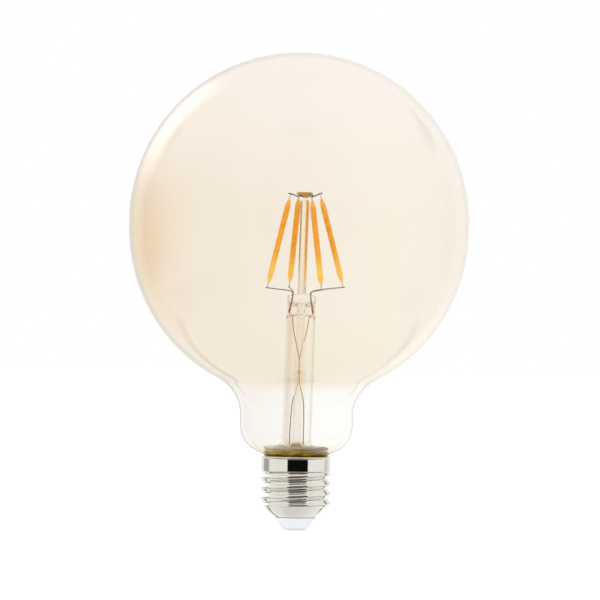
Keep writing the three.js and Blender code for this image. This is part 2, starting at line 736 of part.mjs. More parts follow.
// The driver chip, and the radio: a small upright board with its shield and antenna.
function addOnBoard(lamp) {
  const chip = { size: [4.9, 3.9, 1.5], place: [-5.6, 3.4] };
  addComponent(lamp, "driver_chip", box(...chip.size), finishes.blackPlastic, chip.place, chip.size[2], 1);

  const radio = { size: [11, 0.8, 6.5], place: [0, -6.4] };
  addComponent(lamp, "radio_board", box(...radio.size), finishes.board, radio.place, radio.size[2], 1);
  const radioFaceY = radio.place[1] + radio.size[1] / 2;
  const radioTopZ = boardTopZ + radio.size[2];

  const shield = { size: [6.6, 1.8, 4.2], x: -0.6, lift: 0.4 };
  const shieldZ = boardTopZ + shield.lift + shield.size[2] / 2;
  const shieldMiddle = [shield.x, radioFaceY + shield.size[1] / 2, shieldZ];
  piece(lamp, "radio_shield", box(...shield.size), finishes.tinPlate, shieldMiddle);

  const antenna = { size: [5, 0.6, 1.1], x: 1.2, drop: 0.3 };
  const antennaZ = radioTopZ - antenna.drop - antenna.size[2] / 2;
  const antennaMiddle = [antenna.x, radioFaceY + antenna.size[1] / 2, antennaZ];
  piece(lamp, "radio_antenna", box(...antenna.size), finishes.ceramic, antennaMiddle);
}

function addDriver(lamp) {
  const board = rod(boardRadius * 2, boardThickness, 24);
  piece(lamp, "driver_board", board, finishes.board, [0, 0, boardZ + boardThickness / 2]);
  addUnderBoard(lamp);
  addOnBoard(lamp);

  // Mains connections to the centre contact and to the shell.
  const pinTopZ = insulatorTopZ + pinHeadThickness + seatGap;
  const livePoints = [
    new THREE.Vector3(0, 0, pinTopZ),
    new THREE.Vector3(0.2, -0.3, pinTopZ + (boardZ - pinTopZ) * 0.35),
    new THREE.Vector3(1.2, -1.2, boardZ - 1.6),
    new THREE.Vector3(1.3, -1.3, boardZ - seatGap),
  ];
  piece(lamp, "live_wire", wire(livePoints, insulatedWireDiameter, 10), finishes.redInsulation);
  const shellReach = rimInnerRadius - seatGap - 0.1;
  const neutralAzimuth = 17;
  const neutralPoints = [
    polar(neutralAzimuth, boardRadius - 1.6, boardTopZ + seatGap),
    polar(neutralAzimuth, boardRadius - 1.5, sleeveTopZ - 1.8),
    polar(neutralAzimuth, boardRadius - 0.4, sleeveTopZ + 0.8),
    polar(neutralAzimuth, shellReach, sleeveTopZ + 1.1),
  ];
  piece(lamp, "neutral_wire", wire(neutralPoints, insulatedWireDiameter * 0.75, 12), finishes.blackPlastic);
}

// ---------------------------------------------------------------- the lamp

const lamp = new THREE.Group();
addEnvelope(lamp);
addShell(lamp);
addInsulatorAndContact(lamp);
addCement(lamp);
addStem(lamp);
addSleeve(lamp);
addDriver(lamp);

export default lamp;
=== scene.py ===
import math

import bmesh
import bpy
import numpy as np
from mathutils import Matrix, Vector


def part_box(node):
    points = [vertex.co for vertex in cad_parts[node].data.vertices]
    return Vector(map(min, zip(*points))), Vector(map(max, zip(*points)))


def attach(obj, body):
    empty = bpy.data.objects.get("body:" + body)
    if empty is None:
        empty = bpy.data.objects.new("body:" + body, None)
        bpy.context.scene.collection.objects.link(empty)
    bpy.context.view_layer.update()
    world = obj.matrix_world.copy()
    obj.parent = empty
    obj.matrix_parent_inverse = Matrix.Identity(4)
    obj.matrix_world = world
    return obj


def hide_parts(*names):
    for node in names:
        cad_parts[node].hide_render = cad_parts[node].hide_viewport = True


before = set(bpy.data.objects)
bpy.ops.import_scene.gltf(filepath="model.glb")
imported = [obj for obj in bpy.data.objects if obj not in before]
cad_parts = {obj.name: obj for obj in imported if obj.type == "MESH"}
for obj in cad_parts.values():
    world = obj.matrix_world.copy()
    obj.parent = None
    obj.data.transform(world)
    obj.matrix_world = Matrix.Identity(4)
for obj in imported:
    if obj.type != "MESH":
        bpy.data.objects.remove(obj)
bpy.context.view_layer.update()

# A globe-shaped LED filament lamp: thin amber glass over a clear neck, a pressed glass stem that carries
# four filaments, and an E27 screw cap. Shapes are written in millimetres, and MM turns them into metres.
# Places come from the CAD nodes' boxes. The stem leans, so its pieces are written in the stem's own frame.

MM = 0.001
ON_AXIS = 1e-6  # a radius below this, in millimetres, is a point on the axis


# ---- places taken from the CAD nodes

def span(node):
    """A node's lowest and highest corner, in millimetres."""
    low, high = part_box(node)
    return low / MM, high / MM


def middle(node):
    low, high = span(node)
    return (low + high) / 2


def stem_frame():
    """The stem's own frame in millimetres: its Z is the support rod's axis, and its Y is the lamp's."""
    points = np.array([v.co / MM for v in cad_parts["support_rod"].data.vertices])
    halfway = points[:, 2].mean()
    bottom = Vector(points[points[:, 2] < halfway].mean(axis=0))
    top = Vector(points[points[:, 2] > halfway].mean(axis=0))
    axis = (top - bottom).normalized()
    side = Vector((0, 1, 0)).cross(axis).normalized()
    origin = bottom - axis * (bottom.z / axis.z)
    rotation = Matrix((side, axis.cross(side), axis)).transposed()
    return Matrix.Translation(origin) @ rotation.to_4x4()


STEM = stem_frame()
UNSTEM = STEM.inverted()


def stem_span(node):
    """The lowest and highest corner of a node of the stem, in the stem's frame."""
    points = np.array([UNSTEM @ (v.co / MM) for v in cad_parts[node].data.vertices])
    return Vector(points.min(axis=0)), Vector(points.max(axis=0))


# ---- shape helpers

def arc(centre_r, centre_z, radius, start, end, steps):
    """Points of an arc in a turned profile's plane. Angles are in degrees."""
    angles = np.radians(np.linspace(start, end, steps + 1))
    return [(centre_r + radius * math.cos(a), centre_z + radius * math.sin(a)) for a in angles]


def bend(start, corner, end, steps):
    """Points of a soft bend from start to end, pulled towards corner."""
    t = np.linspace(0, 1, steps + 1)[:, None]
    start, corner, end = (np.array(p, float) for p in (start, corner, end))
    curve = (1 - t) ** 2 * start + 2 * t * (1 - t) * corner + t**2 * end
    return [tuple(p) for p in curve]


def straight(start, end, steps):
    return [tuple(p) for p in np.linspace(start, end, steps + 1)]


def mesh_object(name, vertices, faces, matrix=None):
    """A smooth mesh object from millimetre vertices, placed by a millimetre matrix."""
    if matrix is not None:
        vertices = [matrix @ Vector(v) for v in vertices]
    mesh = bpy.data.meshes.new(name)
    mesh.from_pydata([Vector(v) * MM for v in vertices], [], faces)
    mesh.validate()
    mesh.update()
    mesh.shade_smooth()
    obj = bpy.data.objects.new(name, mesh)
    bpy.context.scene.collection.objects.link(obj)
    return obj


def ring_surface(rows, closed=False):
    """Vertices and faces of a surface through rows of points. A row of one point is a pole."""
    vertices, starts = [], []
    for row in rows:
        starts.append(len(vertices))
        vertices.extend(row)
    faces = []
    pairs = list(zip(range(len(rows)), range(1, len(rows))))
    if closed:
        pairs.append((len(rows) - 1, 0))
    for low, high in pairs:
        a, b = starts[low], starts[high]
        count_a, count_b = len(rows[low]), len(rows[high])
        for i in range(max(count_a, count_b)):
            j = (i + 1) % max(count_a, count_b)
            if count_a == 1:
                faces.append((a, b + j, b + i))
            elif count_b == 1:
                faces.append((a + i, a + j, b))
            else:
                faces.append((a + i, a + j, b + j, b + i))
    return vertices, faces


def turned_rows(profile, segments, shape=None):
    """Rows of points for a profile of (radius, height) pairs, each point passed through shape if given."""
    angles = np.linspace(0, 2 * math.pi, segments, endpoint=False)
    rows = []
    for r, z in profile:
        if r < ON_AXIS:
            rows.append([(0, 0, z)])
            continue
        row = [(r * math.cos(a), r * math.sin(a), z) for a in angles]
        rows.append([shape(*p) for p in row] if shape else row)
    return rows


def turned(name, profile, segments, matrix=None, shape=None):
    """A closed body of revolution. The profile runs anticlockwise round the material."""
    closed = profile[0][0] > ON_AXIS
    vertices, faces = ring_surface(turned_rows(profile, segments, shape), closed)
    return mesh_object(name, vertices, faces, matrix)


def smooth_path(points, steps):
    """A Catmull-Rom curve through the points, with the given number of steps between two of them."""
    points = [Vector(p) for p in points]
    padded = [2 * points[0] - points[1], *points, 2 * points[-1] - points[-2]]
    path = []
    for i in range(1, len(padded) - 2):
        a, b, c, d = padded[i - 1 : i + 3]
        for k in range(steps):
            t = k / steps
            bow = 2 * a - 5 * b + 4 * c - d
            path.append(0.5 * ((2 * b) + (c - a) * t + bow * t**2 + (3 * b - a - 3 * c + d) * t**3))
    return [*path, points[-1]]


# The rings that round off a wire's ends: each one's share of the radius, and its push along the wire in radii.
START_RINGS = [(0.5, -0.7), (0.85, -0.35), (1, 0)]
END_RINGS = [(1, 0), (0.85, 0.35), (0.5, 0.7)]
TIP_PUSH = 0.8


def wire_rows(points, steps, radius, sides=14):
    """Rings along the smooth path through the points, with rounded ends."""
    path = smooth_path(points, steps)
    last = len(path) - 1
    tangents = [(path[min(i + 1, last)] - path[max(i - 1, 0)]).normalized() for i in range(last + 1)]
    angles = np.linspace(0, 2 * math.pi, sides, endpoint=False)
    normal = tangents[0].orthogonal().normalized()
    rows = [[path[0] - tangents[0] * radius * TIP_PUSH]]
    for i, (point, tangent) in enumerate(zip(path, tangents)):
        normal = (normal - tangent * normal.dot(tangent)).normalized()
        across = tangent.cross(normal)
        rings = START_RINGS if i == 0 else END_RINGS if i == last else [(1, 0)]
        for share, push in rings:
            centre, size = point + tangent * (radius * push), radius * share
            rows.append([centre + (normal * math.cos(a) + across * math.sin(a)) * size for a in angles])
    return [*rows, [path[-1] + tangents[-1] * radius * TIP_PUSH]]


def ball_rows(centre, radius, inward=False):
    """A small sphere: a weld bead, or with its faces turned inwards a bubble in glass."""
    profile = arc(0, 0, radius, -90, 90, 8)
    profile[0], profile[-1] = (0, -radius), (0, radius)
    if inward:
        profile.reverse()
    return [[Vector(p) + Vector(centre) for p in row] for row in turned_rows(profile, 14)]


def joined(name, surfaces, matrix=None):
    """One object from several open surfaces, each given as its rows of points."""
    vertices, faces = [], []
    for rows in surfaces:
        more, more_faces = ring_surface(rows)
        faces.extend(tuple(i + len(vertices) for i in face) for face in more_faces)
        vertices.extend(more)
    return mesh_object(name, vertices, faces, matrix)


def paint(obj, material):
    obj.data.materials.clear()
    obj.data.materials.append(materials[material])


def finished(obj, material, slot, *nodes):
    """Gives a piece its material, and puts it in the CAD nodes' place. The slot is not used."""
    paint(obj, material)
    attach(obj, "root")
    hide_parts(*nodes)


# ---- materials

NOISE_LOW, NOISE_HIGH = 0.3, 0.7  # most of a noise node's values lie between these


def linear(red, green, blue):
    """A colour given as 0 to 255 sRGB values, in Blender's linear values."""
    values = (np.array((red, green, blue)) / 255) ** 2.2
    return (*values, 1)


class Nodes:
    """A node tree, with short calls for the nodes used here."""

    def __init__(self, tree):
        self.tree = tree

    def node(self, kind, inputs=(), **settings):
        node = self.tree.nodes.new(kind)
        for key, value in settings.items():
            setattr(node, key, value)
        for key, value in dict(inputs).items():
            if isinstance(value, bpy.types.NodeSocket):
                self.tree.links.new(value, node.inputs[key])
            else:
                node.inputs[key].default_value = value
        return node

    def maths(self, operation, *values):
        return self.node("ShaderNodeMath", dict(enumerate(values)), operation=operation).outputs[0]

    def split(self, vector):
        return self.node("ShaderNodeSeparateXYZ", {"Vector": vector}).outputs

    def range(self, value, from_low, from_high, to_low=0.0, to_high=1.0, kind="LINEAR"):
        inputs = {"Value": value, "From Min": from_low, "From Max": from_high, "To Min": to_low, "To Max": to_high}
        return self.node("ShaderNodeMapRange", inputs, interpolation_type=kind).outputs["Result"]

    def step(self, value, *ends):
        return self.range(value, *ends, kind="SMOOTHSTEP")

    def window(self, value, low, high, soft):
        """1 from low to high and 0 elsewhere, with soft edges."""
        fall = self.step(value, high - soft, high + soft, 1.0, 0.0)
        return self.maths("MULTIPLY", self.step(value, low - soft, low + soft), fall)

    def blend(self, factor, start, end):
        """Goes from the number start to the number end by factor."""
        return self.maths("MULTIPLY_ADD", self.maths("SUBTRACT", end, start), factor, start)


materials = {}  # by name, as each Shader is made


class Shader(Nodes):
    """A new material and its node tree."""

    def __init__(self, name, **sockets):
        self.material = materials[name] = bpy.data.materials.new(name)
        self.material.use_nodes = True
        super().__init__(self.material.node_tree)
        self.bsdf = self.tree.nodes["Principled BSDF"]
        self.set(**sockets)

    def set(self, **sockets):
        for key, value in sockets.items():
            self.bsdf.inputs[key.replace("_", " ").title().replace("Ior", "IOR")].default_value = value

    def place(self):
        return self.node("ShaderNodeTexCoord").outputs["Object"]

    def noise(self, scale, detail=3, stretch=None):
        """Noise in the object's own space, from 0 to 1. scale is in features per metre."""
        vector = self.place()
        if stretch:
            vector = self.node("ShaderNodeMapping", {"Vector": vector, "Scale": stretch}).outputs[0]
        return self.node("ShaderNodeTexNoise", {"Vector": vector, "Scale": scale, "Detail": detail}).outputs["Fac"]

    def ramp(self, factor, *stops):
        """A colour ramp with stops of (place, colour)."""
        node = self.node("ShaderNodeValToRGB", {"Fac": factor})
        elements = node.color_ramp.elements
        while len(elements) < len(stops):
            elements.new(0.5)
        for element, (place, color) in zip(elements, stops):
            element.position, element.color = place, color
        return node.outputs["Color"]

    def tones(self, noise, low, high):
        """A noise as a colour between two."""
        return self.ramp(noise, (NOISE_LOW, low), (NOISE_HIGH, high))

    def spread(self, noise, low, high):
        """A noise as a number between two."""
        return self.range(noise, NOISE_LOW, NOISE_HIGH, low, high)

    def mix(self, factor, a, b):
        return self.node("ShaderNodeMix", {0: factor, 6: a, 7: b}, data_type="RGBA").outputs[2]

    def link(self, value, socket):
        self.tree.links.new(value, self.bsdf.inputs[socket])
        return self

    def bump(self, height, strength, distance):
        inputs = {"Height": height, "Strength": strength, "Distance": distance}
        self.link(self.node("ShaderNodeBump", inputs).outputs[0], "Normal")

    def absorb(self, color, density):
        """Lets a closed piece of glass darken light by the distance that it travels inside."""
        node = self.node("ShaderNodeVolumeAbsorption", {"Color": (*color, 1), "Density": density})
        self.tree.links.new(node.outputs[0], self.tree.nodes["Material Output"].inputs["Volume"])


WEAR = 0.08  # how far a mottled finish's roughness strays either way


def mottled(name, color, variation, scale, roughness, metallic=0.0, depth=0.00002):
    """A finish with a little variation in colour and roughness, and a fine uneven surface."""
    shader = Shader(name, metallic=metallic)
    dark, light = ((*(c * (1 + way * variation) for c in linear(*color)[:3]), 1) for way in (-1, 1))
    shader.link(shader.tones(shader.noise(scale, 4), dark, light), "Base Color")
    fine = shader.noise(scale * 3.1, 2)
    shader.link(shader.spread(fine, roughness - WEAR, roughness + WEAR), "Roughness")
    shader.bump(fine, 0.4, depth)


def amber_glass():
    """Thin glass, clear at the neck and tinted over the globe, with more of the tint on one side and painted shade
    along its outline.
    """
    shader = Shader("amber_glass", transmission_weight=1.0, roughness=0.0, ior=1.47)
    side, _, height = shader.split(shader.place())
    side = shader.maths("ADD", side, shader.spread(shader.noise(22, 2), -0.006, 0.006))
    tint = shader.ramp(
        shader.range(side, -0.0625, 0.0625),
        (0.02, linear(243, 230, 207)),
        (0.05, linear(246, 234, 214)),
        (0.1, linear(248, 238, 225)),
        (0.17, linear(249, 242, 232)),
        (0.5, linear(251, 246, 238)),
        (0.75, linear(252, 248, 239)),
        (1.0, linear(251, 247, 239)),
    )
    tint = shader.mix(shader.step(height, 0.11, 0.165, 0.0, 0.6), tint, linear(254, 250, 246))
    tint = shader.mix(shader.step(height, 0.05, 0.085, 0.35, 0.0), tint, linear(248, 240, 225))
    neck = shader.ramp(
        shader.range(side, -0.02, 0.02), (0.0, linear(251, 249, 246)), (0.7, linear(255, 255, 253))
    )
    cover = shader.step(height, 0.049, 0.058)
    body = shader.mix(cover, neck, tint)
    stain = shader.step(height, 0.0292, 0.0308, 1.0, 0.0)
    body = shader.mix(stain, body, linear(250, 244, 214))
    # Painted shade: the outer wall's outline darkens at grazing angles, more on the left, and is painted olive by
    # the cement.
    neck_rim_shade = shader.mix(shader.range(side, -0.012, 0.018), linear(44, 43, 44), linear(112, 108, 104))
    globe_rim_shade = shader.mix(shader.range(side, -0.04, 0.03), linear(150, 128, 100), linear(212, 196, 172))
    foot = shader.step(height, 0.028, 0.034, 1.0, 0.0)
    # rim holds the painted shade of the outline, olive where the cement shows through the edge.
    rim = shader.mix(foot, shader.mix(cover, neck_rim_shade, globe_rim_shade), linear(84, 76, 40))
    shader.link(shader.mix(foot, (0.3, 0.3, 0.3, 1), (0.08, 0.07, 0.03, 1)), "Specular Tint")
    edge = shader.step(shader.node("ShaderNodeLayerWeight").outputs["Facing"], 0.72, 0.9)
    outside = shader.node("ShaderNodeAttribute", attribute_name="outside").outputs["Fac"]
    shader.link(shader.mix(shader.maths("MULTIPLY", edge, outside), body, rim), "Base Color")
    shader.absorb((0.7, 0.55, 0.3), 6)


def clear_glass():
    """Drawn glass, stained gold where the flange lies on the cement, with painted refraction in stripes along the
    tube and the rod.
    """
    shader = Shader("stem_glass", transmission_weight=1.0, roughness=0.0, ior=1.52)
    side, _, height = shader.split(shader.place())
    # side is measured from the stem's axis, so that the painted stripes lean with it.
    lean = STEM.to_3x3() @ Vector((0, 0, 1))
    axis = shader.maths("ADD", shader.maths("MULTIPLY", height, lean.x / lean.z), STEM.translation.x * MM)
    side = shader.maths("SUBTRACT", side, axis)
    # Painted refraction and shade: the tube is darker on its left and has a dark line down its right edge.
    tube = shader.ramp(
        shader.range(side, -0.0056, 0.0056),
        (0.0, linear(242, 238, 232)),
        (0.2, linear(246, 242, 236)),
        (0.26, linear(252, 250, 247)),
        (0.7, linear(253, 251, 248)),
        (0.76, linear(255, 254, 253)),
        (0.964, linear(255, 254, 253)),
        (0.974, linear(204, 203, 188)),
    )
    # Painted refraction: the rod's dark brown left side and gold stripe on its right stand in for what the glass
    # shows.
    rod = shader.ramp(
        shader.range(side, -0.0016, 0.0016),
        (0.0, linear(84, 66, 50)),
        (0.17, linear(150, 128, 100)),
        (0.24, linear(255, 250, 236)),
        (0.54, linear(255, 248, 226)),
        (0.62, linear(236, 186, 110)),
        (0.9, linear(216, 160, 84)),
        (0.97, linear(250, 236, 206)),
    )
    # The rod's painted stripes fade out towards its top.
    rod = shader.mix(shader.step(height, 0.088, 0.103, 0.62, 0.0), rod, linear(238, 232, 226))
    body = shader.mix(shader.range(height, 0.0866, 0.0876), tube, rod)
    gold = shader.step(height, 0.0298, 0.0304, 1.0, 0.0)
    shader.link(shader.mix(gold, body, linear(208, 170, 24)), "Base Color")
    shader.link(shader.mix(gold, (1, 1, 1, 1), (0.12, 0.1, 0.04, 1)), "Specular Tint")
    shader.link(shader.range(gold, 0.0, 1.0, 0.0, 0.5), "Roughness")
    shader.absorb((0.8, 0.74, 0.6), 6)


def button_glass():
    """Warmer, slightly clouded glass."""
    shader = Shader("button_glass", transmission_weight=0.55, roughness=0.12, ior=1.4)
    tone = shader.ramp(shader.noise(400, 2), (0.35, linear(224, 176, 92)), (0.65, linear(244, 206, 132)))
    shader.link(tone, "Base Color")


CHIPS = 28  # light-emitting chips along a filament


def phosphor():
    """Translucent silicone loaded with yellow-orange phosphor, over a row of chips that just shows."""
    shader = Shader("phosphor", roughness=0.42, subsurface_weight=0.35, subsurface_scale=0.0006)
    shader.set(subsurface_radius=(1.0, 0.5, 0.12), emission_strength=0.17, specular_ior_level=0.3)
    along = shader.split(shader.node("ShaderNodeUVMap").outputs[0])[1]
    chips = shader.maths("COSINE", shader.maths("MULTIPLY", along, CHIPS * 2 * math.pi))
    cloud = shader.noise(700)
    base = shader.tones(cloud, linear(226, 146, 34), linear(236, 168, 50))
    base = shader.mix(shader.step(along, 0.12, 0.42, 0.95, 0.0), base, linear(238, 198, 88))
    base = shader.mix(shader.step(along, 0.86, 1.0, 0.0, 0.6), base, linear(246, 190, 84))
    base = shader.mix(shader.step(chips, 0.6, 1.0, 0.0, 0.18), base, linear(250, 214, 110))
    shader.link(base, "Base Color").link(base, "Emission Color")
    shader.bump(cloud, 0.25, 0.00003)


def nickel_plate():
    """Bright plating with faint rolling lines round the shell."""
    shader = Shader("nickel_plate", metallic=1.0, coat_weight=0.15, coat_roughness=0.05)
    lines = shader.noise(420, 3, (0.05, 0.05, 1))
    shader.link(shader.tones(shader.noise(130), linear(231, 227, 217), linear(239, 236, 228)), "Base Color")
    shader.link(shader.spread(lines, 0.04, 0.08), "Roughness")
    shader.bump(lines, 0.05, 0.00001)


def white_insulator():
    """Smooth opaque white, slightly clouded."""
    shader = Shader("white_insulator", ior=1.5, coat_weight=0.25, coat_roughness=0.12)
    shader.set(subsurface_weight=0.08, subsurface_radius=(1, 1, 1), subsurface_scale=0.0008)
    cloud = shader.noise(260, 4)
    shader.link(shader.tones(cloud, linear(226, 229, 232), linear(233, 235, 238)), "Base Color")
    shader.link(shader.spread(cloud, 0.28, 0.4), "Roughness")
    shader.bump(cloud, 0.12, 0.00003)


def amber_cement():
    """Glossy resin in olive and gold, laid on unevenly so that it catches light in streaks."""
    shader = Shader("amber_cement", specular_ior_level=0.06, coat_weight=0.08, coat_roughness=0.1)
    flow = shader.noise(330, 5, (1, 1, 2.2))
    golds = shader.ramp(
        flow,
        (0.3, linear(86, 66, 0)),
        (0.45, linear(124, 98, 0)),
        (0.58, linear(156, 124, 8)),
        (0.74, linear(212, 180, 66)),
    )
    shader.link(golds, "Base Color")
    shader.link(shader.spread(flow, 0.35, 0.6), "Roughness")
    shader.bump(flow, 0.6, 0.0003)


def circuit_board():
    """Green solder mask with tinned pads in a grid and lighter traces under the mask."""
    shader = Shader("circuit_board", roughness=0.38, ior=1.5)
    cells = shader.node("ShaderNodeTexVoronoi", {"Vector": shader.place(), "Scale": 520.0, "Randomness": 0.4})
    pads = shader.range(cells.outputs["Distance"], 0.2, 0.24, 1.0, 0.0)
    inputs = {"Vector": shader.place(), "Scale": 190.0, "Distortion": 5.0, "Detail": 1.0}
    traces = shader.node("ShaderNodeTexWave", inputs).outputs["Fac"]
    base = shader.ramp(traces, (0.55, linear(22, 96, 54)), (0.62, linear(40, 128, 74)))
    shader.link(shader.mix(pads, base, linear(196, 196, 190)), "Base Color")
    shader.link(pads, "Metallic")
    shader.bump(traces, 0.2, 0.00003)


def wound_copper():
    """Enamelled copper wire in close turns."""
    shader = Shader("wound_copper", metallic=1.0, roughness=0.25, coat_weight=0.4, coat_roughness=0.1)
    wave = shader.node("ShaderNodeTexWave", {"Vector": shader.place(), "Scale": 900.0}, bands_direction="Z")
    turns = wave.outputs["Fac"]
    shader.link(shader.ramp(turns, (0.1, linear(120, 62, 30)), (0.7, linear(206, 128, 76))), "Base Color")
    shader.bump(turns, 0.8, 0.0001)


def lead_wire():
    """Dull copper, with amber scale where two lengths are welded end to end."""
    shader = Shader("copper_wire", metallic=0.25)
    tone = shader.noise(800, 4)
    copper = shader.tones(tone, linear(176, 150, 118), linear(206, 182, 150))
    height = shader.split(shader.place())[2]
    copper = shader.mix(shader.step(height, 0.046, 0.054, 1.0, 0.0), copper, linear(140, 124, 100))
    upper = shader.step(height, 0.0585, 0.0592, 1.0, 0.0)
    lower = shader.step(height, 0.0528, 0.0535)
    scale = shader.maths("MULTIPLY", upper, lower)
    shader.link(shader.mix(scale, copper, linear(226, 176, 84)), "Base Color")
    shader.link(shader.spread(tone, 0.36, 0.52), "Roughness")
    shader.bump(tone, 0.3, 0.00002)


# Finishes that need only a little variation: colour, its variation, features per metre, roughness, then
# metallic and the depth of the bump in metres where they aren't the usual ones.
MOTTLED = {
    "nickel_wire": ((122, 116, 106), 0.25, 900, 0.34, 1.0),
    "terminal_plate": ((196, 190, 180), 0.15, 700, 0.3, 1.0),
    "dumet": ((172, 92, 80), 0.25, 900, 0.38, 0.5),
    "arm_wire": ((150, 134, 124), 0.25, 900, 0.42, 0.6),
    "rim_cement": ((226, 212, 184), 0.08, 500, 0.4),
    "contact_plate": ((234, 235, 237), 0.05, 500, 0.42, 0.15),
    "chip_strip": ((240, 238, 230), 0.06, 900, 0.5),
    "liner_plastic": ((217, 212, 196), 0.06, 300, 0.5),
    "black_plastic": ((38, 38, 40), 0.3, 700, 0.42),
    "red_insulation": ((176, 48, 40), 0.12, 600, 0.42),
    "capacitor_sleeve": ((36, 42, 66), 0.2, 500, 0.24),
    "ferrite": ((58, 58, 61), 0.3, 1200, 0.62, 0.0, 0.00006),
    "resistor_coat": ((112, 156, 106), 0.12, 900, 0.48),
    "sleeving": ((248, 242, 226), 0.04, 500, 0.4),
}

for name, finish in MOTTLED.items():
    mottled(name, *finish)
lead_wire()
amber_glass()
clear_glass()
button_glass()
phosphor()
nickel_plate()
white_insulator()
amber_cement()
circuit_board()
wound_copper()


# ---- glass envelope

GLOBE_BAND = 2.3  # straight band between the globe's two halves
GLASS_WALL = 0.9
NECK_RADIUS = 20.75
SHOULDER_RADIUS = 14.6
NECK_LENGTH = 3.6
BOWL_RADIUS = 10.5
BOWL_SWEEP = 66
SEAL_FILLET = 1.6
SEAL_RADIUS = 11.15  # outside of the ring that stands in the cap


def envelope_line(depth):
    """The envelope's wall from the ring in the cap to the crown, at a depth into the glass.

    The centres of its curves are worked out from the globe's crown and width.
    """
    low, high = span("globe")
    globe_radius = (high.x - low.x) / 2
    shoulder_r = NECK_RADIUS + SHOULDER_RADIUS
    drop = math.sqrt((globe_radius + SHOULDER_RADIUS) ** 2 - shoulder_r**2)
    join = math.degrees(math.atan2(drop, shoulder_r))
    high_z = high.z - globe_radius
    low_z = high_z - GLOBE_BAND
    bowl_r, bowl_z = NECK_RADIUS - BOWL_RADIUS, low_z - drop - NECK_LENGTH
    sine, cosine = math.sin(math.radians(BOWL_SWEEP)), math.cos(math.radians(BOWL_SWEEP))
    end_r, end_z = bowl_r + BOWL_RADIUS * cosine, bowl_z - BOWL_RADIUS * sine
    fillet_z = end_z + ((SEAL_RADIUS + SEAL_FILLET - end_r) * cosine - SEAL_FILLET) / sine

    fillet = arc(SEAL_RADIUS + SEAL_FILLET, fillet_z, SEAL_FILLET + depth, 180, 180 - BOWL_SWEEP, 8)
    bowl = arc(bowl_r, bowl_z, BOWL_RADIUS - depth, -BOWL_SWEEP, 0, 16)
    shoulder = arc(shoulder_r, low_z - drop, SHOULDER_RADIUS + depth, 180, 180 - join, 14)
    lower = arc(0, low_z, globe_radius - depth, -join, 0, 36)
    upper = arc(0, high_z, globe_radius - depth, 0, 90, 48)
    upper[-1] = (0, high_z + globe_radius - depth)
    ring = straight((SEAL_RADIUS - depth, low.z + 0.3), fillet[0], 4)
    return [*ring[:-1], *fillet, *bowl, *shoulder, *lower[1:], *upper]


def make_globe():
    outer, inner = envelope_line(0), envelope_line(GLASS_WALL)
    edge = bend(inner[0], (SEAL_RADIUS - GLASS_WALL / 2, span("globe")[0].z - 0.1), outer[0], 4)
    # The outside runs up to the crown, and the inside runs back down. The first row of the outside repeats
    # the last row of the inside, so the two are merged.
    outside = turned_rows([*edge[:-1], *outer], 200)
    inside = turned_rows(list(reversed(inner)), 200)
    obj = joined("globe_glass", [outside, inside])
    # The mesh says which wall is the outer one, because only that wall has the painted shade of the outline.
    outer_count, all_count = sum(len(row) for row in outside), len(obj.data.vertices)
    layer = obj.data.attributes.new("outside", "FLOAT", "POINT")
    layer.data.foreach_set("value", [1.0] * outer_count + [0.0] * (all_count - outer_count))
    mesh = bmesh.new()
    mesh.from_mesh(obj.data)
    bmesh.ops.remove_doubles(mesh, verts=mesh.verts, dist=1e-7)
    bmesh.ops.recalc_face_normals(mesh, faces=mesh.faces)
    mesh.to_mesh(obj.data)
    mesh.free()
    obj.data.shade_smooth()
    finished(obj, "amber_glass", "amber_glass", "globe")


# ---- screw cap

THREAD_PITCH = 25.4 / 7
THREAD_DEPTH = 1.05
THREAD_RADIUS = 13.05
THREAD_START_Z = 19.1
THREAD_LOW_Z, THREAD_HIGH_Z = 8.6, 21.9
THREAD_RUN_OUT = 1.5
RIM_RADIUS = 12.75
RIM_FLARE = 0.25
SHELL_WALL = 0.3
LIP_RADIUS = 7.7


def smoothstep(value, low, high):
    t = min(max((value - low) / (high - low), 0), 1)
    return t * t * (3 - 2 * t)


def rolled_thread(x, y, z):
    """Moves a point of the shell in or out to roll the thread into it."""
    phase = (z - THREAD_START_Z) / THREAD_PITCH - math.atan2(y, x) / (2 * math.pi) + 0.5
    fade = smoothstep(z, THREAD_LOW_Z, THREAD_LOW_Z + THREAD_RUN_OUT)
    fade *= 1 - smoothstep(z, THREAD_HIGH_Z - THREAD_RUN_OUT, THREAD_HIGH_Z)
    swell = THREAD_DEPTH / 2 * fade * math.cos(2 * math.pi * phase)
    scale = 1 + swell / math.hypot(x, y)
    return (x * scale, y * scale, z)


def make_shell():
    low, high = span("screw_shell")
    mean = THREAD_RADIUS - THREAD_DEPTH / 2
    top_z, flared = THREAD_HIGH_Z, RIM_RADIUS + RIM_FLARE
    outer = [
        *bend((LIP_RADIUS, low.z + 0.15), (LIP_RADIUS + 2.2, low.z + 1.4), (mean - 0.9, THREAD_LOW_Z), 12),
        *straight((mean, THREAD_LOW_Z + 0.6), (mean, top_z - 0.4), 84),
        *bend((mean, top_z - 0.3), (RIM_RADIUS, top_z - 0.25), (RIM_RADIUS, top_z + 0.2), 4),
        *straight((RIM_RADIUS, top_z + 0.5), (RIM_RADIUS, high.z - 0.9), 5),
        *bend((RIM_RADIUS, high.z - 0.8), (RIM_RADIUS + 0.05, high.z - 0.25), (flared, high.z - 0.12), 5),
    ]
    inner = [(r - SHELL_WALL, z) for r, z in reversed(outer)]
    rim = [(flared - 0.08, high.z), (flared - 0.22, high.z)]
    lip = [(LIP_RADIUS - SHELL_WALL, low.z + 0.05), (LIP_RADIUS - 0.1, low.z)]
    obj = turned("screw_shell_metal", [*outer, *rim, *inner, *lip], 180, shape=rolled_thread)
    finished(obj, "nickel_plate", "nickel_plate", "screw_shell")


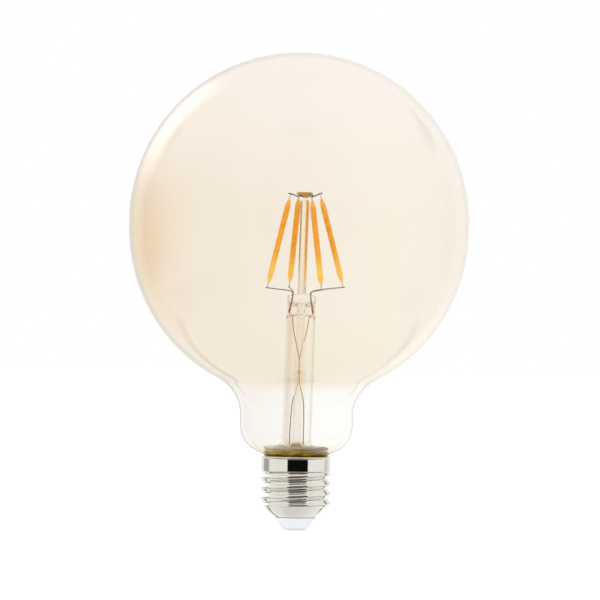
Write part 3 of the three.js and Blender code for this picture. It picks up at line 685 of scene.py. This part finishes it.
def make_insulator():
    low, high = span("cap_insulator")
    foot, throat, bore = 4.8, LIP_RADIUS - SHELL_WALL - 0.3, 1.4
    lip_z = span("screw_shell")[0].z
    seat_z = lip_z - 0.03  # just under the shell's lip
    profile = [
        (bore, low.z),
        (foot - 0.35, low.z),
        *bend((foot - 0.2, low.z), (foot + 0.1, low.z), (foot + 0.3, low.z + 0.35), 4),
        *bend((foot + 0.5, low.z + 0.6), (LIP_RADIUS - 1.0, lip_z - 1.5), (LIP_RADIUS - 0.12, lip_z - 0.5), 8),
        *bend((LIP_RADIUS - 0.02, lip_z - 0.35), (LIP_RADIUS + 0.06, seat_z), (throat + 0.2, seat_z), 4),
        (throat, lip_z + 0.2),
        (throat + 1.2, lip_z + 1.5),
        (high.x - 0.1, high.z),
        (bore, high.z),
    ]
    obj = turned("cap_insulator_white", profile, 120)
    finished(obj, "white_insulator", "white_insulator", "cap_insulator")


def make_contact():
    top_z = span("centre_contact")[1].z
    disc, pin, head = 4.4, 1.1, 1.8
    disc_top = 0.8
    profile = [
        (0, 0.06),
        *bend((0.9, 0.06), (1.2, 0.0), (1.6, 0.0), 3),
        (disc - 0.6, 0.0),
        *bend((disc - 0.35, 0.0), (disc, 0.0), (disc, 0.32), 5),
        *bend((disc, disc_top - 0.15), (disc, disc_top), (disc - 0.15, disc_top), 3),
        (pin, disc_top),
        (pin, top_z - 0.5),
        (head, top_z - 0.5),
        *bend((head, top_z - 0.2), (head, top_z), (head - 0.3, top_z), 3),
        (0, top_z),
    ]
    obj = turned("centre_contact_disc", profile, 96)
    finished(obj, "contact_plate", "contact_plate", "centre_contact")


def make_rim_cement():
    """The adhesive between the glass and the shell, lumpy where it shows above the rim."""
    low_z, rim_z = span("basing_cement")[0].z, span("screw_shell")[1].z
    inside, outside = SEAL_RADIUS + 0.03, RIM_RADIUS - SHELL_WALL - 0.03

    def lumpy(x, y, z):
        if z < rim_z:
            return (x, y, z)
        angle = math.atan2(y, x)
        wave = 0.10 * math.sin(5 * angle + 0.7) + 0.06 * math.sin(11 * angle + 2.1)
        scale = 1 + wave / math.hypot(x, y)
        return (x * scale, y * scale, z)

    profile = [
        (inside, low_z),
        (outside, low_z),
        (outside, rim_z - 0.1),
        *bend((outside, rim_z), (outside - 0.05, rim_z + 0.2), (outside - 0.5, rim_z + 0.25), 5),
        *bend((outside - 0.7, rim_z + 0.25), (inside + 0.1, rim_z + 0.2), (inside, rim_z - 0.2), 5),
    ]
    obj = turned("basing_cement_ring", profile, 160, shape=lumpy)
    finished(obj, "rim_cement", "amber_cement", "basing_cement")


def make_closing_cement():
    """The pool of adhesive that closes the bowl of the neck under the stem."""
    low_z, flange_z = span("closing_cement")[0].z, stem_span("stem_flare")[0].z
    bore, gap = 4.2, 0.06
    wall = [(r, z) for r, z in envelope_line(GLASS_WALL) if low_z + 0.2 < z < flange_z - 0.42]
    dish = [(r - gap * 0.4, z + gap) for r, z in wall]
    edge_r, edge_z = dish[-1]
    top_z = flange_z + 0.2

    def rippled(x, y, z):
        if z < edge_z - 0.05:
            return (x, y, z)
        angle, r = math.atan2(y, x), math.hypot(x, y)
        return (x, y, z + 0.05 * math.sin(5 * angle + 0.7 * r) + 0.03 * math.sin(9 * angle + 1.3 * r))

    pool = [
        (bore, low_z),
        (dish[0][0], low_z),
        *dish,
        *bend((edge_r + 0.03, edge_z + 0.12), (edge_r - 0.1, flange_z + 0.12), (edge_r - 0.8, flange_z + 0.14), 5),
        *straight((edge_r - 1.4, flange_z + 0.14), (bore + 1.4, top_z), 8),
        *bend((bore + 1.0, top_z), (bore, top_z), (bore, flange_z - 0.9), 5),
    ]
    obj = turned("closing_cement_pool", pool, 120, shape=rippled)
    finished(obj, "amber_cement", "amber_cement", "closing_cement")


# ---- glass stem

TUBE_RADIUS = 5.4
TUBE_WALL = 1.0
ROD_RADIUS = 1.6
EXHAUST_RADIUS, EXHAUST_BORE = 1.5, 1.25
PINCH_HALF_THICKNESS = 2.05
DOME_HEIGHT = 1.4  # the rod's rounded top

# The top of the pinch: half-width, half-thickness and height of each section.
CROWN = [
    (5.1, 1.95, 0.1), (4.6, 1.85, 0.35), (3.4, 1.7, 0.55), (2.1, 1.5, 0.72), (1.45, 1.3, 0.9), (1.32, 1.28, 1.05),
]
# The bubbles in the pinch: x, y, height above the pinch's foot, and radius.
BUBBLES = [
    (-4.3, 0.3, 2.4, 0.36), (4.5, -0.3, 1.3, 0.3), (2.5, -0.4, 3.3, 0.55), (-2.4, 0.2, 3.0, 0.5),
    (-0.6, -0.8, 5.3, 0.22),
]


def make_stem_glass():
    """Flare, pinch, exhaust tube and rod are fused in the real stem, so they are one body of glass."""
    rim_z, rim = stem_span("stem_flare")[0].z, stem_span("stem_flare")[1].x
    pinch_z, top_z = (corner.z for corner in stem_span("stem_pinch"))
    tip_z, rod_z = stem_span("exhaust_tube")[0].z, stem_span("support_rod")[1].z
    tube, rod, exhaust, bore = TUBE_RADIUS, ROD_RADIUS, EXHAUST_RADIUS, EXHAUST_BORE

    # Half-width, half-thickness and height of each section, from the flare's rim up to the rod's top.
    skirt = bend((rim, rim_z + 0.5), (tube + 0.3, rim_z + 0.7), (tube, rim_z + 3.0), 14)
    sections = [(rim - 0.2, rim - 0.2, rim_z), (rim, rim, rim_z + 0.3)]
    sections += [(r, r, z) for r, z in skirt]
    sections += [(tube, tube, z) for z in np.linspace(rim_z + 6, pinch_z - 1.5, 14)]
    for share in np.linspace(0, 1, 15):
        flat = smoothstep(share, 0.0, 0.92)
        waist = 1 - 0.05 * math.sin(math.pi * share)
        z = pinch_z - 0.9 + share * (top_z - pinch_z + 0.5)
        sections.append((tube * waist, (tube * (1 - flat) + PINCH_HALF_THICKNESS * flat), z))
    sections += [(a, b, top_z + lift - 0.2) for a, b, lift in CROWN]
    shoulder_z, dome_z = top_z + 1.0, rod_z - DOME_HEIGHT
    sections += [(rod - 0.1, rod - 0.1, shoulder_z), (rod, rod, shoulder_z + 0.12)]
    sections += [(rod, rod, z) for z in np.linspace(shoulder_z + 0.4, dome_z, 16)]
    sections += [(r, r, dome_z + z * 0.75) for r, z in arc(0, 0, rod, 4, 86, 8)]

    angles = np.linspace(0, 2 * math.pi, 96, endpoint=False)
    outer = []
    for a, b, z in sections:
        power = 1.0 if abs(a - b) < 0.3 else 0.82
        row = []
        for t in angles:
            c, s = math.cos(t), math.sin(t)
            row.append((a * math.copysign(abs(c) ** power, c), b * math.copysign(abs(s) ** power, s), z))
        outer.append(row)
    outer.append([(0, 0, rod_z - 0.2)])

    inner = tube - TUBE_WALL
    cavity = [
        (0, tip_z),
        *bend((0.35, tip_z + 0.05), (exhaust, tip_z + 0.3), (exhaust, tip_z + 2.6), 6),
        *straight((exhaust, tip_z + 4), (exhaust, pinch_z - 1.4), 14),
        *bend((exhaust, pinch_z - 1.0), (exhaust + 0.1, pinch_z + 0.4), (exhaust + 1.2, pinch_z + 0.4), 6),
        *bend((exhaust + 1.5, pinch_z + 0.3), (inner, pinch_z + 0.1), (inner, pinch_z - 2.6), 10),
        *straight((inner, pinch_z - 3), (inner, rim_z + 6), 12),
        *bend((inner, rim_z + 3.0), (inner, rim_z + 0.2), (rim - 0.8, rim_z), 14),
    ]
    glass_body = [*turned_rows(cavity, 96), *outer]

    channel = [
        (0, pinch_z + 4.6),
        *bend((0.7, pinch_z + 4.5), (1.5, pinch_z + 4.2), (1.55, pinch_z + 3.2), 6),
        *bend((1.55, pinch_z + 2.6), (1.45, pinch_z + 1.2), (bore, pinch_z + 0.3), 6),
        *straight((bore, pinch_z - 1), (bore, tip_z + 5), 12),
        *bend((bore, tip_z + 4.4), (bore * 0.9, tip_z + 3.2), (0.2, tip_z + 2.8), 5),
        (0, tip_z + 2.7),
    ]
    bubbles = [ball_rows((x, y, pinch_z + lift), radius, inward=True) for x, y, lift, radius in BUBBLES]
    obj = joined("stem_glass", [glass_body, turned_rows(channel, 40), *bubbles], STEM)
    finished(obj, "stem_glass", "stem_glass", "stem_flare", "stem_pinch", "exhaust_tube", "support_rod")


def make_button():
    """The bead of glass on the rod that the top wires are pressed into."""
    low, high = stem_span("rod_button")
    radius = (high.y - low.y) / 2
    disc_z = high.z - 1.35
    profile = [
        (0, low.z + 0.02),
        *bend((0.7, low.z + 0.02), (1.15, low.z + 0.05), (1.2, low.z + 0.4), 5),
        *bend((1.22, disc_z - 0.4), (1.3, disc_z - 0.05), (radius - 0.5, disc_z), 5),
        *bend((radius - 0.2, disc_z), (radius, disc_z + 0.05), (radius, disc_z + 0.35), 5),
        *bend((radius, high.z - 0.4), (radius, high.z - 0.08), (radius - 0.4, high.z - 0.05), 5),
        *bend((radius - 0.8, high.z - 0.04), (1.0, high.z - 0.02), (0, high.z - 0.02), 6)[:-1],
        (0, high.z - 0.02),
    ]
    obj = turned("rod_button_glass", profile, 72, STEM)
    finished(obj, "button_glass", "stem_glass", "rod_button")


# ---- filaments and wires

TERMINAL_OUT = 0.75  # from the coat's end to the middle of each terminal
TERMINAL_HALF_WIDTH, TERMINAL_HALF_THICKNESS = 0.3, 0.13
# A terminal from the coat outwards: height, and share of its width.
TERMINAL = [(-1.75, 1.0), (-0.75, 1.0), (-0.3, 0.8), (0.2, 0.62), (1.2, 0.6), (1.65, 0.62), (1.75, 0.5)]
COAT_RADIUS = 1.08
COAT_TAPER = 2.6
WELD_OUT = 1.35  # from the middle of a terminal to its weld


def filament_axis(index):
    """The middles of a filament's bottom and top terminals."""
    return middle(f"filament_{index}_bottom_terminal"), middle(f"filament_{index}_top_terminal")


def axis_matrix(origin, direction):
    return Matrix.Translation(origin) @ direction.to_track_quat("Z", "X").to_matrix().to_4x4()


def make_coat(index, bottom, top, direction):
    length = (top - bottom).length - 2 * TERMINAL_OUT
    place = axis_matrix(bottom + direction * TERMINAL_OUT, direction)
    full, taper = COAT_RADIUS, COAT_TAPER
    body = [
        (0, 0),
        *bend((0.32, 0.02), (0.55, 0.05), (0.62, 0.5), 4),
        *bend((0.66, 0.7), (full * 0.98, taper * 0.8), (full, taper), 6),
        *straight((full, taper + 0.6), (full, length - taper - 0.6), 48),
        *bend((full, length - taper), (full * 0.98, length - taper * 0.8), (0.66, length - 0.7), 6),
        *bend((0.62, length - 0.5), (0.55, length - 0.05), (0.32, length - 0.02), 4),
        (0, length),
    ]

    def hand_laid(x, y, z):
        swell = 1 + 0.035 * math.sin(z * 1.9 + index) + 0.02 * math.sin(z * 5.3 + 2 * index)
        return (x * swell * 0.94, y * swell, z)

    obj = turned(f"filament_{index}_phosphor", body, 28, place, shape=hand_laid)
    inverse = (Matrix.Diagonal((MM, MM, MM, 1)) @ place).inverted()
    layer = obj.data.uv_layers.new(name="along")
    for loop in obj.data.loops:
        local = inverse @ obj.data.vertices[loop.vertex_index].co
        layer.data[loop.index].uv = (math.atan2(local.y, local.x) / (2 * math.pi) + 0.5, local.z / length)
    finished(obj, "phosphor", "phosphor", f"filament_{index}_coat")


def make_terminal(index, end, at, away):
    t = TERMINAL_HALF_THICKNESS
    corner = 0.35 * t
    rows = [[(0, 0, TERMINAL[0][0])]]
    for z, share in TERMINAL:
        w = TERMINAL_HALF_WIDTH * share
        half = [(t, -w + corner, z), (t, w - corner, z), (t - corner, w, z), (-t + corner, w, z)]
        rows.append([*half, *((-x, -y, z) for x, y, z in half)])
    rows.append([(0, 0, TERMINAL[-1][0])])
    obj = joined(f"filament_{index}_{end}_lead", [rows], axis_matrix(at, away))
    obj.data.set_sharp_from_angle(angle=math.radians(40))
    finished(obj, "terminal_plate", "terminal_plate", f"filament_{index}_{end}_terminal")


def make_filament(index):
    bottom, top = filament_axis(index)
    direction = (top - bottom).normalized()
    make_coat(index, bottom, top, direction)
    make_terminal(index, "bottom", bottom, -direction)
    make_terminal(index, "top", top, direction)


def weld_point(index, end):
    """Where a filament's terminal is welded to its wire."""
    bottom, top = filament_axis(index)
    direction = (top - bottom).normalized()
    return top + direction * WELD_OUT if end == "top" else bottom - direction * WELD_OUT


def wire_with_beads(node, material, points, steps, radius, beads, bead_radius):
    """A wire with a bead of weld at each of the places in beads."""
    surfaces = [wire_rows(points, steps, radius), *(ball_rows(p, bead_radius) for p in beads)]
    finished(joined(f"{node}_nickel", surfaces), material, "nickel_wire", node)


def level_aside(away, distance):
    """The level direction of away, and a level step of the given length to its left."""
    flat = (away - Vector((0, 0, away.z))).normalized()
    return flat, Vector((-flat.y, flat.x, 0)) * distance


WIRE_RADIUS = 0.25
ARM_RADIUS = 0.21
LEAD_RADIUS = 0.2
WELD_RADIUS = 0.56  # the bead where two lengths of an outer lead meet
SLEEVE_OUTSIDE, SLEEVE_INSIDE = 0.7, 0.35
# The outer lead's path down from the pinch: degrees round the stem's axis, radius, and drop.
WINDING = [
    (0, 3.2, 0), (34, 2.9, 6.5), (86, 2.4, 16.5), (97, 2.4, 24), (148, 2.3, 32), (172, 2.4, 38), (180, 2.5, 43),
]
WELD = (95, 2.4, 21.5)


def make_top_wire(node, first, second):
    """A wire through the button that bends up to the tops of two opposite filaments."""
    low, high = stem_span("rod_button")
    button_radius = (high.y - low.y) / 2
    centre_z = stem_span(node)[0].z + WIRE_RADIUS
    axis_point = STEM @ Vector((0, 0, centre_z))
    welds = [weld_point(i, "top") for i in (first, second)]
    sides = []
    for weld in welds:
        flat, aside = level_aside(weld - axis_point, 0.52)
        rise = Vector((0, 0, weld.z - axis_point.z))
        reach = (weld - axis_point - rise).length
        sides.append(
            [
                axis_point + flat * (button_radius - 0.3) + aside,
                axis_point + flat * (button_radius + 0.5) + aside - Vector((0, 0, 0.08)),
                axis_point + flat * (button_radius + (reach - button_radius) * 0.6) + aside + rise * 0.45,
                axis_point + flat * (reach + 0.2) + aside + rise,
                axis_point + flat * (reach + 1.0) + aside + rise * 1.2,
            ]
        )
    points = [*reversed(sides[0]), axis_point, *sides[1]]
    beads = [side[3] - (side[3] - weld).normalized() * 0.12 for side, weld in zip(sides, welds)]
    wire_with_beads(node, "nickel_wire", points, 10, WIRE_RADIUS, beads, 0.34)


def make_lower_arm(side, back, front):
    """The bent wire that runs from a lead to the bottoms of two filaments."""
    low, high = stem_span(f"inner_lead_{side}")
    x = (low.x + high.x) / 2
    corner = STEM @ Vector((x, 0, high.z + 0.35))
    beads, runs = [STEM @ Vector((x, 0, high.z + 0.1))], []
    for index in (back, front):
        weld = weld_point(index, "bottom")
        flat, aside = level_aside(weld - corner, 0.3)
        tip = weld + flat * 0.75 + aside
        near = corner.lerp(tip, 0.12)
        near.z = corner.z + (tip.z - corner.z) * 0.45
        far = corner.lerp(tip, 0.5)
        far.z = corner.z + (tip.z - corner.z) * 0.72
        runs.append([tip, far, near])
        beads.append(weld + aside * 0.4)
    points = [*runs[0], corner, *reversed(runs[1])]
    wire_with_beads(f"lower_arm_{side}", "arm_wire", points, 8, ARM_RADIUS, beads, 0.32)


# Each lead is three wires butt-welded in line: nickel above the pinch, dumet in it, and copper below.

def make_straight_lead(node, material, slot, radius, lift, bow):
    low, high = stem_span(node)
    x = (low.x + high.x) / 2
    halfway = (x + bow, 0.05, low.z * 0.6 + high.z * 0.4)
    points = [(x, 0, low.z - lift), halfway, (x + bow * 0.4, 0, high.z + 0.02)]
    obj = joined(f"{node}_metal", [wire_rows(points, 8, radius)], STEM)
    finished(obj, material, slot, node)


def make_outer_lead(side, sign):
    node = f"outer_lead_{side}"
    low, high = stem_span(node)

    def wound(degrees, radius, drop):
        angle = math.radians(degrees)
        return (sign * radius * math.cos(angle), sign * radius * math.sin(angle), high.z - drop)

    points = [wound(*place) for place in WINDING]
    x, y, _ = points[-1]
    points += [(x, y, stem_span(f"lead_sleeving_{side}")[1].z + 1), (x, y, low.z + 0.1)]
    surfaces = [wire_rows(points, 12, LEAD_RADIUS, 12), ball_rows(wound(*WELD), WELD_RADIUS)]
    finished(joined(f"{node}_copper", surfaces, STEM), "copper_wire", "copper_wire", node)


def make_sleeving(side):
    low, high = stem_span(f"lead_sleeving_{side}")
    outside, inside = SLEEVE_OUTSIDE, SLEEVE_INSIDE
    profile = [
        (inside, low.z),
        (outside, low.z),
        *straight((outside, low.z + 1), (outside, high.z - 0.3), 6),
        *bend((outside, high.z - 0.2), (outside, high.z), (outside - 0.15, high.z), 3),
        (inside, high.z),
    ]
    place = STEM @ Matrix.Translation(((low.x + high.x) / 2, (low.y + high.y) / 2, 0))
    obj = turned(f"lead_sleeving_{side}_tube", profile, 32, place)
    finished(obj, "sleeving", "white_insulator", f"lead_sleeving_{side}")


def make_leads(side, sign):
    make_straight_lead(f"inner_lead_{side}", "arm_wire", "nickel_wire", ARM_RADIUS + 0.02, 0.05, 0)
    make_straight_lead(f"dumet_seal_{side}", "dumet", "dumet", LEAD_RADIUS + 0.04, 0.28, 0.22 * sign)
    make_outer_lead(side, sign)
    make_sleeving(side)


# ---- pieces kept from the CAD model

KEPT = {
    "driver_sleeve": "liner_plastic", "driver_board": "circuit_board", "radio_board": "circuit_board",
    "bridge_rectifier": "black_plastic", "driver_chip": "black_plastic", "neutral_wire": "black_plastic",
    "live_wire": "red_insulation", "smoothing_capacitor": "capacitor_sleeve", "choke_core": "ferrite",
    "choke_winding": "wound_copper", "fusible_resistor": "resistor_coat", "radio_shield": "contact_plate",
    "radio_antenna": "chip_strip", **{f"filament_{i}_strip": "chip_strip" for i in range(1, 5)},
}


def dress_kept_nodes():
    for node, material in KEPT.items():
        paint(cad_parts[node], material)


# ---- studio

CAMERA_SIDE, CAMERA_DISTANCE, CAMERA_HEIGHT = 0.00068, 1.75, 0.0846
VIEW_HEIGHT = 0.2203  # what the frame takes in at the lamp
ROLL = 0.81  # the lamp stands a little off plumb in the view
BOUNCES = 36  # enough for light to cross the globe, the stem and the shell behind them
FLOOR_SIZE = 4000
FLOOR_GLOW = 0.84


def make_camera():
    data = bpy.data.cameras.new("camera")
    data.sensor_width = 36
    data.lens = data.sensor_width * CAMERA_DISTANCE / VIEW_HEIGHT
    data.clip_end = 20
    camera = bpy.data.objects.new("camera", data)
    bpy.context.scene.collection.objects.link(camera)
    level = Matrix.Rotation(math.radians(90), 4, "X")
    roll = Matrix.Rotation(math.radians(ROLL), 4, "Z")
    camera.matrix_world = Matrix.Translation((CAMERA_SIDE, -CAMERA_DISTANCE, CAMERA_HEIGHT)) @ level @ roll
    bpy.context.scene.camera = camera


def reflected_studio(nodes, direction):
    """How bright each direction is in a reflection: a pale room, a dark doorway in front, and softboxes behind.

    Angles are in degrees. The azimuth is 0 towards the front, off_axis is 0 towards the back, and turn goes
    round the line from front to back.
    """
    step, window, blend = nodes.step, nodes.window, nodes.blend

    def degrees(operation, *values):
        return nodes.maths("MULTIPLY", nodes.maths(operation, *values), 180 / math.pi)

    def patch(level, place, limit, brightness):
        return blend(nodes.maths("MULTIPLY", place, limit), level, brightness)

    x, y, z = nodes.split(direction)
    azimuth = degrees("ARCTAN2", x, nodes.maths("MULTIPLY", y, -1.0))
    height = degrees("ARCSINE", z)
    off_axis = degrees("ARCCOSINE", y)
    turn = degrees("ARCTAN2", z, x)
    steep = nodes.maths("ABSOLUTE", height)
    turned_away = nodes.maths("ABSOLUTE", azimuth)

    level = blend(step(height, -76.0, -44.0, 1.0, 0.0), 0.93, 0.76)
    ahead = step(turned_away, 60.0, 98.0, 1.0, 0.0)
    beside = step(turned_away, 106.0, 122.0, 1.0, 0.0)
    behind = step(turned_away, 118.0, 132.0)
    over = nodes.maths("MULTIPLY", behind, step(off_axis, 42.0, 46.0))
    at_rim = window(height, -16.0, 14.0, 3.0)
    # Dark bands for the folds of the thread, then grey patches for the sides of the shell's rim.
    level = patch(level, window(height, -48.0, -22.0, 3.0), ahead, 0.12)
    level = patch(level, window(height, -37.0, -24.0, 2.0), beside, 0.14)
    level = patch(level, window(height, -34.0, -29.0, 1.5), behind, 0.2)
    level = patch(level, window(height, 23.0, 32.0, 2.0), over, 0.2)
    level = patch(level, window(azimuth, -134.0, -100.0, 7.0), at_rim, 0.42)
    level = patch(level, window(azimuth, 112.0, 130.0, 8.0), at_rim, 0.66)
    # The doorway is darkest level with the lamp.
    shade = blend(step(steep, 9.0, 17.0), 0.004, 0.2)
    shade = blend(step(steep, 64.0, 76.0), shade, 0.72)
    level = blend(window(azimuth, -28.0, 41.0, 1.5), level, shade)
    # Two softboxes, and plain white straight behind the lamp.
    softbox = step(off_axis, 10.0, 60.0, 1.05, 2.7)
    level = patch(level, window(turn, 124.0, 160.0, 11.0), window(off_axis, 15.0, 52.0, 7.0), softbox)
    level = patch(level, window(turn, -62.0, -28.0, 16.0), window(off_axis, 14.0, 40.0, 6.0), 1.25)
    return blend(step(off_axis, 12.0, 30.0, 1.0, 0.0), level, 1.0)


def make_world():
    """White to the eye and through glass, a studio in reflections, and brightest from the upper left on the rest."""
    world = bpy.data.worlds.new("studio")
    bpy.context.scene.world = world
    world.use_nodes = True
    world.node_tree.nodes.clear()
    nodes = Nodes(world.node_tree)
    direction = nodes.node("ShaderNodeTexCoord").outputs["Generated"]
    towards_light = Vector((-0.45, -0.45, 0.75)).normalized()
    lit = nodes.node("ShaderNodeVectorMath", {0: direction, 1: towards_light}, operation="DOT_PRODUCT")
    soft = nodes.step(lit.outputs["Value"], -1.0, 1.0, 0.55, 1.2)
    path = nodes.node("ShaderNodeLightPath").outputs
    level = nodes.blend(path["Is Glossy Ray"], soft, reflected_studio(nodes, direction))
    seen = nodes.maths("MAXIMUM", path["Is Camera Ray"], path["Is Transmission Ray"])
    strength = nodes.blend(seen, level, 1.0)
    background = nodes.node("ShaderNodeBackground", {"Color": (1, 1, 1, 1), "Strength": strength})
    nodes.node("ShaderNodeOutputWorld", {"Surface": background.outputs[0]})


def make_floor():
    """A pale floor: most of its light is its own, so it stays white and still takes a soft shadow."""
    size = FLOOR_SIZE
    corners = [(-size, -size, 0), (size, -size, 0), (size, size, 0), (-size, size, 0)]
    floor = mesh_object("floor", corners, [(0, 1, 2, 3)])
    shader = Shader("floor", base_color=(0.3, 0.3, 0.3, 1), roughness=1, specular_ior_level=0)
    shader.set(emission_color=(1, 1, 1, 1), emission_strength=FLOOR_GLOW)
    floor.data.materials.append(shader.material)
    floor.visible_glossy = False
    floor.visible_transmission = False


def make_studio():
    make_camera()
    make_world()
    make_floor()
    bpy.context.scene.view_settings.view_transform = "Standard"
    cycles = bpy.context.scene.cycles
    cycles.max_bounces = cycles.transmission_bounces = cycles.glossy_bounces = BOUNCES
    cycles.diffuse_bounces = 4
    cycles.blur_glossy = 0.0
    cycles.volume_bounces = 2
    cycles.transparent_max_bounces = 12


# ---- the lamp

make_studio()
make_globe()
make_shell()
make_insulator()
make_contact()
make_rim_cement()
make_closing_cement()
make_stem_glass()
make_button()
make_top_wire("top_wire_across", 1, 3)
make_top_wire("top_wire_through", 2, 4)
make_lower_arm("left", 2, 3)
make_lower_arm("right", 1, 4)
make_leads("left", -1)
make_leads("right", 1)
for number in range(1, 5):
    make_filament(number)
dress_kept_nodes()
